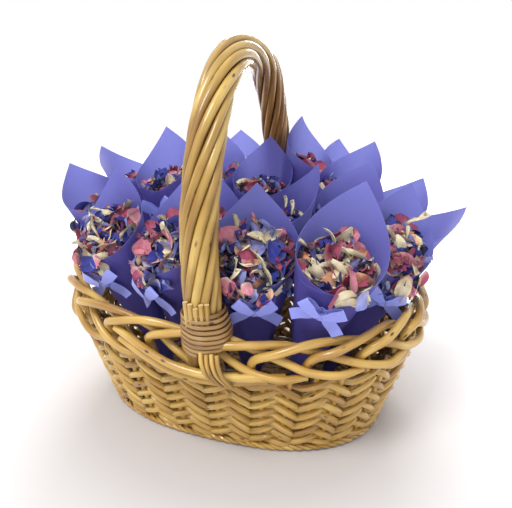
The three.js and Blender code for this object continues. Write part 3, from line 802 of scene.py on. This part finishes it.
class Cone:
    """Place of one cone, in millimetres: tip, axis, direction of its tall corner, and left."""

    def __init__(self, number, row, spot):
        x, y, lift, turn = spot
        self.number = number
        self.row = row
        self.half_angle = HALF_ANGLES[row]
        length = PAPER_SIDE * math.cos(self.half_angle)
        lean = np.array([LEAN_X * x, LEAN_Y * y])
        self.tip = np.array([x - lean[0], y - lean[1], CONE_FLOOR + lift])
        self.axis = np.array([lean[0], lean[1], math.sqrt(length**2 - lean.dot(lean))])
        self.axis /= np.linalg.norm(self.axis)
        heading = math.radians(turn)
        back = np.array([math.sin(heading), math.cos(heading), 0])
        back -= back.dot(self.axis) * self.axis
        self.back = back / np.linalg.norm(back)
        self.left = np.cross(self.axis, self.back)

    def at(self, theta, slant, inward=0.0):
        """Points on the paper, theta round from the tall corner, in metres."""
        spread = slant * math.sin(self.half_angle) - inward / math.cos(self.half_angle)
        return MM * (self.tip + np.multiply.outer(slant * math.cos(self.half_angle), self.axis)
                     + np.multiply.outer(spread * CONE_DEPTH * np.cos(theta), self.back)
                     + np.multiply.outer(spread * np.sin(theta), self.left))

    def inside(self, points):
        """Height along the axis and the two sideways places of points given in metres."""
        local = points / MM - self.tip
        return local @ self.axis, local @ self.back / CONE_DEPTH, local @ self.left

    def placed(self, height, backward, leftward):
        """The points with these three measures, in metres."""
        return MM * (self.tip + np.multiply.outer(height, self.axis)
                     + np.multiply.outer(backward * CONE_DEPTH, self.back)
                     + np.multiply.outer(leftward, self.left))


CONES = []
for row_number, row in enumerate(ROWS):
    for spot in row:
        CONES.append(Cone(len(CONES) + 1, row_number, spot))

SHEET_CELLS = 26
PAPER_THICKNESS = 0.35


def paper_cone(cone):
    """A square sheet rolled round from one corner, so that its two near edges overlap."""
    bpy.ops.mesh.primitive_grid_add(
        x_subdivisions=SHEET_CELLS, y_subdivisions=SHEET_CELLS, size=PAPER_SIDE * MM)
    sheet = bpy.context.object
    keep_stock(sheet, (0.3 * cone.number, 0.2 * cone.number, 0))
    flat = coordinates(sheet) / MM + PAPER_SIDE / 2
    slant = np.hypot(flat[:, 0], flat[:, 1])
    on_sheet = np.arctan2(flat[:, 1], flat[:, 0]) - math.pi / 4
    on_sheet[slant < 1e-6] = 0
    theta = -on_sheet / math.sin(cone.half_angle)
    # one edge lies inside the other where they overlap
    layer = 0.25 + 0.55 * (theta / (math.pi / 4 / math.sin(cone.half_angle)) + 1) / 2
    rng = np.random.default_rng(100 + cone.number)
    phase = rng.uniform(0, 2 * math.pi, 3)
    high = np.clip((slant - 90) / 120, 0, 1) ** 2
    buckle = high * (1.6 * np.sin(2 * theta + phase[0]) + 0.8 * np.sin(3 * theta + phase[1]))
    curl = 5.0 * np.clip((slant - 165) / 47, 0, 1) ** 2 * math.sin(phase[2])
    move_points(sheet, cone.at(theta, slant, layer + buckle + curl))
    sheet.data.materials.append(paper)
    thicken(sheet, PAPER_THICKNESS)
    tag = f"{cone.number:02d}"
    piece = join([sheet], f"rolled_paper_{tag}")
    smooth(piece, 50)
    finish_piece(piece, "paper", f"paper_cone_{tag}")


# ---------------------------------------------------------------- petals


def petal_model(kind, width, length, cup, curl, ruffle, twist):
    """One petal lying at the origin, root at 0 and tip along +Y, shaped from a flat grid."""
    bpy.ops.mesh.primitive_grid_add(x_subdivisions=5, y_subdivisions=7, size=1)
    petal = bpy.context.object
    petal.name = "petal_model"
    flat = coordinates(petal)
    s = 2 * flat[:, 0]
    t = flat[:, 1] + 0.5
    broad = np.sin(math.pi * np.clip(0.06 + 0.9 * t, 0, 1) ** 0.8) ** 0.7 + 0.1
    x = 0.5 * width * s * broad
    y = length * t
    z = cup * s**2 * np.sin(math.pi * t) + curl * t**2
    z += ruffle * np.sin(5 * s + 3 * t) * t**1.5
    angle = twist * t
    x, z = x * np.cos(angle) - z * np.sin(angle), x * np.sin(angle) + z * np.cos(angle)
    move_points(petal, MM * np.stack([x, y, z], axis=-1))
    keep_field(petal, "reach", t)
    keep_stock(petal)
    petal.data.materials.append(PETAL_FINISHES[kind])
    for face in petal.data.polygons:
        face.use_smooth = True
    for holder in petal.users_collection:
        holder.objects.unlink(petal)
    return petal


PETAL_MODELS = [
    # how common, (kind, width, length, cup, curl, ruffle, twist)
    (9, ("rose", 17, 19, 3.0, -3.0, 1.5, 0.4)),
    (8, ("rose", 14, 17, -2.6, 4.5, 1.9, -0.7)),
    (7, ("pink", 17, 19, 3.8, 2.5, 1.4, 0.3)),
    (5, ("pink", 13, 16, -3.0, 4.0, 2.0, -0.9)),
    (4, ("peach", 14, 18, 2.6, -3.5, 1.6, 0.6)),
    (8, ("cream", 11, 21, 3.0, 4.0, 1.4, 1.0)),
    (8, ("cream", 15, 18, -2.6, -3.0, 1.7, -0.5)),
    (12, ("blue", 15, 16, 3.4, 3.0, 2.5, 0.8)),
    (12, ("blue", 12, 15, -3.2, -3.0, 2.3, -0.9)),
    (10, ("navy", 11, 14, 2.6, 3.5, 2.5, 1.3)),
    (8, ("lilac", 13, 16, 2.6, -2.5, 1.9, 0.7)),
    (6, ("lilac", 9, 19, -2.0, 4.5, 1.4, 1.5)),
    (5, ("cream", 2.4, 26, 0.2, 7.0, 3.0, 2.4)),
]
PETALS_IN_HEAP = 125
HEAP_RIM = PAPER_SIDE + 1
HEAP_RISE = 20  # of a heap above the rim, at the back of the mouth
HIGH_HEAPS = (1, 2, 3, 11)
HIGH_HEAP_RISE = 38
# Petals spilled over a rim: cone, then how many, about which direction and how far to its sides.
SPILLS = {
    1: (26, 2.4, 0.9),
    2: (14, 3.1, 0.8),
    3: (22, 3.2, 0.9),
    4: (5, 3.5, 0.5),
    5: (16, 2.2, 0.9),
    11: (16, 3.4, 0.9),
}


HEAP_CORE = 140.0  # a height well inside a heap
PETAL_MIDDLE = 0.45 * 17  # from its root, of a petal of common length


def heap_top(cone, backward, leftward):
    """Height of a heap's top, from the two places across the mouth as shares of its radius."""
    rise = HIGH_HEAP_RISE if cone.number in HIGH_HEAPS else HEAP_RISE
    edge = np.clip(np.hypot(backward, leftward), 0, 1)
    behind = np.clip((backward + 1) / 2, 0, 1)
    rim = HEAP_RIM * math.cos(cone.half_angle)
    return rim - 3 + rise * (0.38 * (1 - edge**2) + 0.75 * behind**1.2)


def loose_petal(pick, models, weights, onto):
    """A copy of one of the petal models, with its own place on the stock, moved by onto."""
    model = pick.choices(models, weights)[0]
    copy = model.copy()
    copy.data = model.data.copy()
    bpy.context.scene.collection.objects.link(copy)
    copy.data.transform(onto)
    stock = copy.data.attributes["stock"]
    values = np.empty(3 * len(copy.data.vertices))
    stock.data.foreach_get("vector", values)
    stock.data.foreach_set("vector", values + pick.uniform(0, 4))
    return copy


def spilled_petals(cone, pick, models, weights):
    """Petals hanging over the front rim, against the outside of the paper."""
    copies = []
    count, middle, reach = SPILLS[cone.number]
    core = Vector(cone.placed(HEAP_CORE, 0.0, 0.0))
    for _ in range(count):
        theta = middle + pick.uniform(-reach, reach)
        slant = HEAP_RIM - pick.uniform(-5, 4.5)
        foot = cone.at(theta, slant)
        place = Vector(cone.at(theta, slant, -pick.uniform(1.0, 3.5)))
        up = Vector(cone.at(theta, slant + 1) - foot).normalized()
        side = Vector(cone.at(theta + 0.02, slant) - foot).normalized()
        out = side.cross(up)
        if out.dot(place - core) < 0:
            out.negate()
        basis = Matrix((side, -up, out)).transposed().to_4x4()
        spin = Matrix.Rotation(pick.uniform(-1.3, 1.3), 4, "Z")
        lift = Matrix.Rotation(pick.uniform(0.0, 0.7), 4, "X")
        size = Matrix.Scale(pick.uniform(0.6, 0.95), 4)
        shift = Matrix.Translation((0, -0.006, 0))
        onto = Matrix.Translation(place) @ basis @ spin @ lift @ size @ shift
        copies.append(loose_petal(pick, models, weights, onto))
    return copies


def heap_filling(cone, rng, mouth):
    """Crumpled dark sheet under the loose petals, painted shade for the depths of the heap: a
    square grid drawn out to a disc.
    """
    bpy.ops.mesh.primitive_grid_add(x_subdivisions=14, y_subdivisions=14, size=2)
    filling = bpy.context.object
    flat = coordinates(filling)
    square = np.max(np.abs(flat[:, :2]), axis=1)
    round_off = square / np.maximum(np.hypot(flat[:, 0], flat[:, 1]), 1e-9)
    backward, leftward = flat[:, 1] * round_off, flat[:, 0] * round_off
    height = heap_top(cone, backward, leftward) - 6 + rng.uniform(-1.5, 1.5, len(flat))
    keep_stock(filling)
    keep_field(filling, "reach", np.hypot(backward, leftward))
    reach = mouth - 1.5
    move_points(filling, cone.placed(height, backward * reach, leftward * reach))
    # painted shade: the filling takes the darkest petal finish
    filling.data.materials.append(PETAL_FINISHES["navy"])
    return filling


def squeeze_into(cone, heap):
    """Draws what would reach through the paper inward; over the rim it may lean out."""
    height, backward, leftward = cone.inside(coordinates(heap))
    theta = np.arctan2(leftward, backward)
    on_sheet = np.abs(theta) * math.sin(cone.half_angle)
    paper_rim = PAPER_SIDE / np.cos(math.pi / 4 - on_sheet) * math.cos(cone.half_angle)
    radius = np.hypot(backward, leftward)
    over = np.clip((height - paper_rim) / 8, 0, 1)
    limit = height * math.tan(cone.half_angle) - 1.4 + 7 * over
    squeeze = np.minimum(1, limit / np.maximum(radius, 1e-6))
    move_points(heap, cone.placed(height, backward * squeeze, leftward * squeeze))


def petal_heap(cone, models, weights):
    """Loose petals heaped in the mouth of a cone over a dark filling that paints the shade in the
    depths of the heap.
    """
    rng = np.random.default_rng(500 + cone.number)
    pick = random.Random(700 + cone.number)
    mouth = HEAP_RIM * math.sin(cone.half_angle)
    basis = Matrix((cone.left, cone.back, cone.axis)).transposed().to_4x4()
    forward = Matrix.Rotation(0.35, 4, "X")
    middle = Matrix.Translation((0, -PETAL_MIDDLE * MM, 0))
    copies = []
    for k in range(PETALS_IN_HEAP):
        share = math.sqrt(rng.uniform(0, 1))
        theta = rng.uniform(0, 2 * math.pi)
        layer = k / PETALS_IN_HEAP
        backward, leftward = share * math.cos(theta), share * math.sin(theta)
        height = heap_top(cone, backward, leftward) - 7 + 9 * layer
        radius = mouth - 1 + 0.12 * (height - HEAP_RIM)
        place = Vector(cone.placed(height, radius * backward, radius * leftward))
        spin = Matrix.Rotation(rng.uniform(0, 2 * math.pi), 4, "Z")
        tip_up = Matrix.Rotation(rng.normal(0.3, 0.5) + 0.45 * layer, 4, "X")
        roll = Matrix.Rotation(rng.normal(0, 0.75), 4, "Y")
        size = Matrix.Scale(rng.uniform(0.6, 1.1), 4)
        onto = Matrix.Translation(place) @ basis @ forward @ spin @ tip_up @ roll @ size @ middle
        copies.append(loose_petal(pick, models, weights, onto))
    filling = heap_filling(cone, rng, mouth)
    heap = join([filling] + copies, f"petal_heap_{cone.number:02d}")
    squeeze_into(cone, heap)
    if cone.number in SPILLS:
        heap = join([heap] + spilled_petals(cone, pick, models, weights), heap.name)
    finish_piece(heap, "petals", f"petals_{cone.number:02d}")


# ---------------------------------------------------------------- bows

RIBBON_WIDTH = 9.0
RIBBON_THICKNESS = 0.3
BOW_SLANT = 135.0  # place up the front of the cone
BOW_OUT = 0.5  # off the paper
LOOP_LENGTH = (17, 20)  # shortest and longest
LOOP_PUFF = (2.2, 3.2)
LOOP_TILT = (0.45, 0.75)  # up from level, in radians
TAIL_LENGTH = (22, 26)
TAIL_CUT = (-4, 4)  # slant of its end, in steps along it
TAIL_HANG = 0.3  # outward from the leaning paper
TAIL_TILT = (0.55, 0.9)  # down from level


def ribbon_strip(line, spread, cut=0.0):
    """A strip of ribbon bent along a line in the plane of "along" and "out" of a bow.

    spread widens or gathers it along the line, cut slants its far end."""
    segments = len(line) - 1
    length = line_length(line)
    bpy.ops.mesh.primitive_grid_add(x_subdivisions=segments, y_subdivisions=4, size=1)
    strip = bpy.context.object
    flat = coordinates(strip)
    flat[:, 0] *= length * MM
    flat[:, 1] *= RIBBON_WIDTH * MM
    move_points(strip, flat)
    keep_stock(strip)
    share = flat[:, 0] / (length * MM) + 0.5
    across = flat[:, 1] / (RIBBON_WIDTH * MM)
    place = share * segments + cut * across * np.clip((share - 0.7) / 0.3, 0, 1)
    steps = np.arange(segments + 1)
    last = line[-1] - line[-2]
    beyond = np.clip(place - segments, 0, None)
    x = np.interp(place, steps, line[:, 0]) + beyond * last[0]
    y = np.interp(place, steps, line[:, 1]) + beyond * last[1]
    z = across * RIBBON_WIDTH * np.interp(place, steps, spread)
    move_points(strip, MM * np.stack([x, y, z], axis=-1))
    strip.data.materials.append(satin)
    thicken(strip, RIBBON_THICKNESS)
    return strip


def ribbon_loop(side, size, puff):
    t = np.linspace(0, 1, 25)
    bulge = np.sin(math.pi * t)
    x = side * (2.0 + (size - 2.0) * bulge ** 0.7)
    y = 3.0 + puff * (1.0 - np.cos(math.pi * t)) - puff * 0.9 * bulge * (t - 0.5)
    return ribbon_strip(np.stack([x, y], axis=-1), 0.55 + 0.55 * np.clip(2.4 * bulge, 0, 1))


def ribbon_tail(side, reach, fall, cut):
    """fall is how fast the paper curves away under it."""
    t = np.linspace(0, 1, 19)
    x = side * (1.0 + reach * t)
    bend = 0.007 * (reach * t) ** 2 * fall
    y = 2.2 * (1 - t) ** 2 + 0.8 + 0.9 * np.sin(2.2 * math.pi * t) * t - bend
    return ribbon_strip(np.stack([x, y], axis=-1), 0.5 + 0.5 * np.clip(t * 2.5, 0, 1), cut)


def ribbon_bow(cone):
    """A bow on the front of a cone: two loops, two tails with slanted ends and a knot."""
    rng = np.random.default_rng(900 + cone.number)
    foot = cone.at(math.pi, BOW_SLANT)
    higher = cone.at(math.pi, BOW_SLANT + 1)
    up = (higher - foot) / np.linalg.norm(higher - foot)
    along = cone.left
    out = np.cross(up, along)
    out /= np.linalg.norm(out)
    onto = Matrix((along, out, up)).transposed().to_4x4()
    onto.translation = foot + out * BOW_OUT * MM
    hang = Matrix.Rotation(TAIL_HANG, 4, "X")
    fall = 15 / (BOW_SLANT * math.sin(cone.half_angle))
    strips = []
    for side in (1, -1):
        loop = ribbon_loop(side, rng.uniform(*LOOP_LENGTH), rng.uniform(*LOOP_PUFF))
        tilt = -side * rng.uniform(*LOOP_TILT)
        loop.data.transform(onto @ Matrix.Rotation(tilt, 4, "Y"))
        strips.append(loop)
        tail = ribbon_tail(side, rng.uniform(*TAIL_LENGTH), fall, rng.uniform(*TAIL_CUT))
        tilt = side * rng.uniform(*TAIL_TILT)
        tail.data.transform(onto @ hang @ Matrix.Rotation(tilt, 4, "Y"))
        strips.append(tail)
    turn = np.linspace(0, 2 * math.pi, 25)
    knot_line = np.stack([3.6 * np.sin(turn), 4.0 - 3.2 * np.cos(turn)], axis=-1)
    knot = ribbon_strip(knot_line, 0.75 + 0.08 * np.cos(3 * turn))
    knot.data.transform(onto @ Matrix.Rotation(rng.uniform(-0.2, 0.2), 4, "Y"))
    strips.append(knot)
    piece = join(strips, f"satin_bow_{cone.number:02d}")
    smooth(piece, 60)
    nodes = [f"ribbon_bow_{cone.number:02d}"] if cone.row < ROWS_WITH_CAD_BOWS else []
    finish_piece(piece, "ribbon", *nodes)


# ---------------------------------------------------------------- assembly

woven_base()
woven_wall()
plaited_border()
roped_handle()
for back in (False, True):
    cane_binding(back)
    lap_rods(back)
    peg_ends(back)

petal_models = [petal_model(*model) for _, model in PETAL_MODELS]
petal_weights = [common for common, _ in PETAL_MODELS]
for cone in CONES:
    paper_cone(cone)
    petal_heap(cone, petal_models, petal_weights)
    ribbon_bow(cone)
for model in petal_models:
    bpy.data.objects.remove(model)

# ---------------------------------------------------------------- floor and light

PAINTED_GLOW_SPAN = (0.15, 0.36)  # the floor's painted glow rises between these distances from the middle
LIGHT_AIM = Vector((0, 0, 0.12))

bpy.ops.mesh.primitive_plane_add(size=60)
floor = bpy.context.object
floor.name = "floor"
pale = Finish("pale_floor", (0.56, 0.54, 0.545), 0.9)
pale.set("Specular IOR Level", 0.0)
place = pale.node("ShaderNodeTexCoord").outputs["Object"]
away = pale.node("ShaderNodeVectorMath", Vector=place)
away.operation = "LENGTH"
# painted light and shadow: the floor glows more the farther it lies from the basket, white far off,
# with a painted shadow left near the basket
painted_glow = pale.node("ShaderNodeMapRange", Value=away.outputs["Value"], From_Min=PAINTED_GLOW_SPAN[0],
                 From_Max=PAINTED_GLOW_SPAN[1], To_Min=0.0, To_Max=0.5)
pale.set("Emission Color", (1, 1, 1, 1))
pale.link(painted_glow.outputs[0], "Emission Strength")
floor.data.materials.append(pale.material)

world = bpy.data.worlds.new("soft_surround")
bpy.context.scene.world = world
world.use_nodes = True
surround = world.node_tree.nodes["Background"]
surround.inputs["Color"].default_value = (1.0, 1.0, 1.0, 1)
surround.inputs["Strength"].default_value = 1.0


def softbox(name, place, size, power, color=(1, 1, 1)):
    bpy.ops.object.light_add(type="AREA", location=place)
    lamp = bpy.context.object
    lamp.name = name
    lamp.data.shape = "SQUARE"
    lamp.data.size = size
    lamp.data.energy = power
    lamp.data.color = color
    lamp.rotation_euler = (LIGHT_AIM - Vector(place)).to_track_quat("-Z", "Y").to_euler()


softbox("key_softbox", (-0.25, -0.75, 1.35), 0.45, 13, (1.0, 0.985, 0.96))
softbox("back_softbox", (-0.25, 1.4, 0.6), 0.9, 30)

bpy.context.scene.view_settings.view_transform = "Standard"
